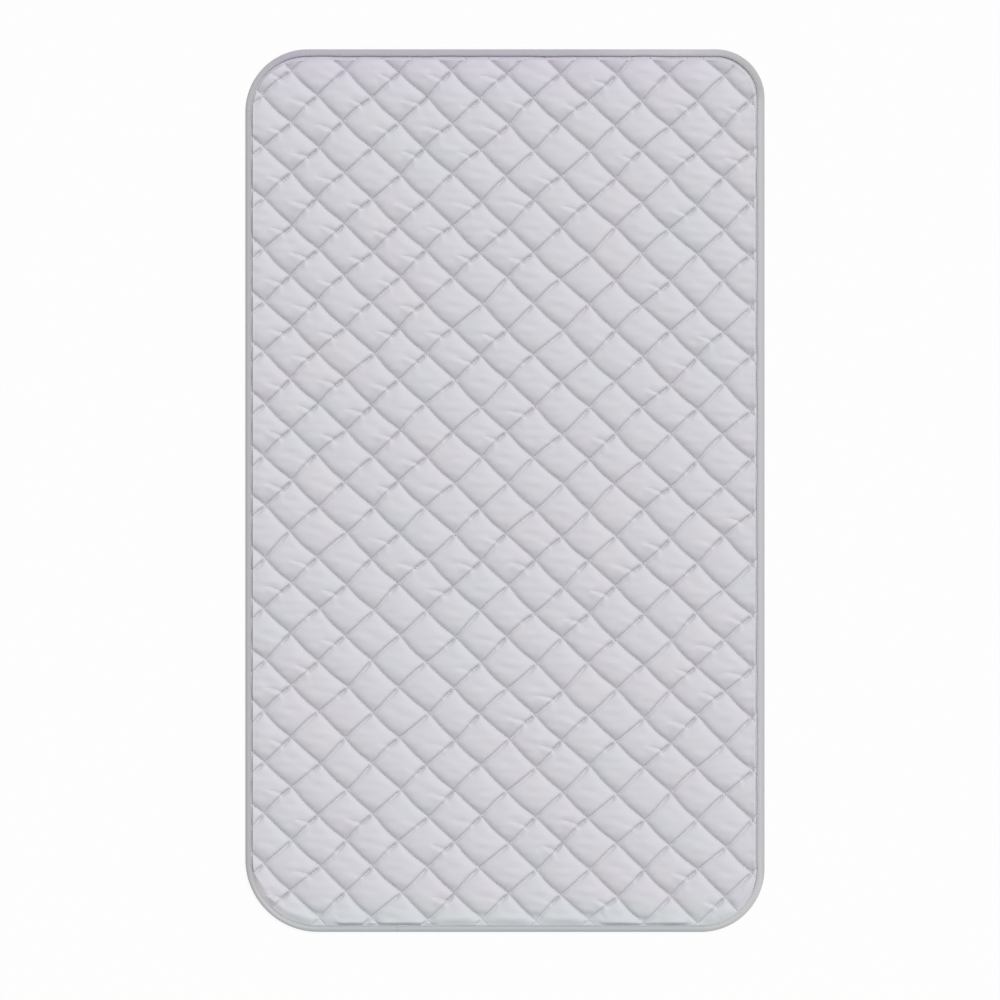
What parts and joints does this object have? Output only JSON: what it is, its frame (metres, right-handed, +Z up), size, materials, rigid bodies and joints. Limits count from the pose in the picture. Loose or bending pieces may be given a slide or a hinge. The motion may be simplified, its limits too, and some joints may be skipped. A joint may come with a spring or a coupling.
{
  "type": "ironing pad",
  "caption": "Flat quilted ironing pad: diamond-quilted face cloth over wadding and a backing cloth, bound round its rounded outline with folded tape.",
  "frame": {"origin": "middle of the pad's underside, at the bottom centre of its bounding box", "axes": "+X across the width, +Y along the length, +Z up out of the quilted face"},
  "size_m": [0.5, 0.85, 0.0082],
  "materials": {
    "face_cloth": "pale grey woven cloth with a faint sheen",
    "wadding": "white fibre wadding",
    "backing_cloth": "pale grey plain woven cloth, matt",
    "binding_tape": "grey bias tape, matt",
    "thread": "grey polyester sewing thread"
  },
  "bodies": {
    "root": {"face_fabric": "face_cloth", "wadding": "wadding", "backing_fabric": "backing_cloth", "edge_binding": "binding_tape", "binding_needle_thread": "thread", "binding_bobbin_thread": "thread", "falling_row_01": "thread", "falling_row_02": "thread", "falling_row_03": "thread", "falling_row_04": "thread", "falling_row_05": "thread", "falling_row_06": "thread", "falling_row_07": "thread", "falling_row_08": "thread", "falling_row_09": "thread", "falling_row_10": "thread", "falling_row_11": "thread", "falling_row_12": "thread", "falling_row_13": "thread", "falling_row_14": "thread", "falling_row_15": "thread", "falling_row_16": "thread", "falling_row_17": "thread", "falling_row_18": "thread", "falling_row_19": "thread", "falling_row_20": "thread", "falling_row_21": "thread", "falling_row_22": "thread", "falling_row_23": "thread", "falling_row_24": "thread", "falling_row_25": "thread", "rising_row_01": "thread", "rising_row_02": "thread", "rising_row_03": "thread", "rising_row_04": "thread", "rising_row_05": "thread", "rising_row_06": "thread", "rising_row_07": "thread", "rising_row_08": "thread", "rising_row_09": "thread", "rising_row_10": "thread", "rising_row_11": "thread", "rising_row_12": "thread", "rising_row_13": "thread", "rising_row_14": "thread", "rising_row_15": "thread", "rising_row_16": "thread", "rising_row_17": "thread", "rising_row_18": "thread", "rising_row_19": "thread", "rising_row_20": "thread", "rising_row_21": "thread", "rising_row_22": "thread", "rising_row_23": "thread", "rising_row_24": "thread", "rising_row_25": "thread"}
  },
  "joints": []
}
